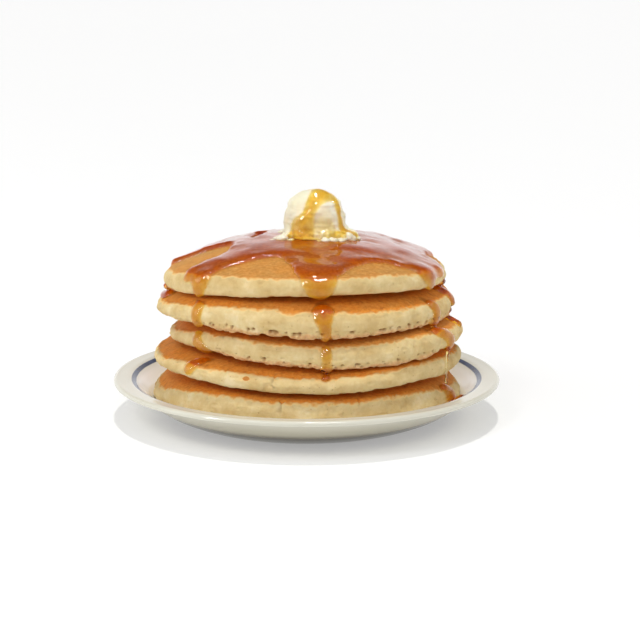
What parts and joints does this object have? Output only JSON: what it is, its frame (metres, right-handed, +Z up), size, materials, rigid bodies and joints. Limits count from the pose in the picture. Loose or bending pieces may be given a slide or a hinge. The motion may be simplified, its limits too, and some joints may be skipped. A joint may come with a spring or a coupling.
{
  "type": "pancake stack",
  "caption": "Stack of thick buttermilk pancakes with a scoop of whipped butter, served on a round diner plate with a rolled rim.",
  "frame": {"origin": "centre of the plate's foot ring, on the table", "axes": "+Z up through the stack, +X to the right and +Y away as seen from the side with the wide syrup drip"},
  "size_m": [0.2286, 0.2286, 0.1349],
  "materials": {
    "glazed_china": "gloss glaze",
    "pancake": "soft browned crust over pale crumb",
    "whipped_butter": "soft satin"
  },
  "bodies": {
    "root": {"plate": "glazed_china", "pancake_1": "pancake", "pancake_2": "pancake", "pancake_3": "pancake", "pancake_4": "pancake", "pancake_5": "pancake", "butter": "whipped_butter"}
  },
  "joints": []
}
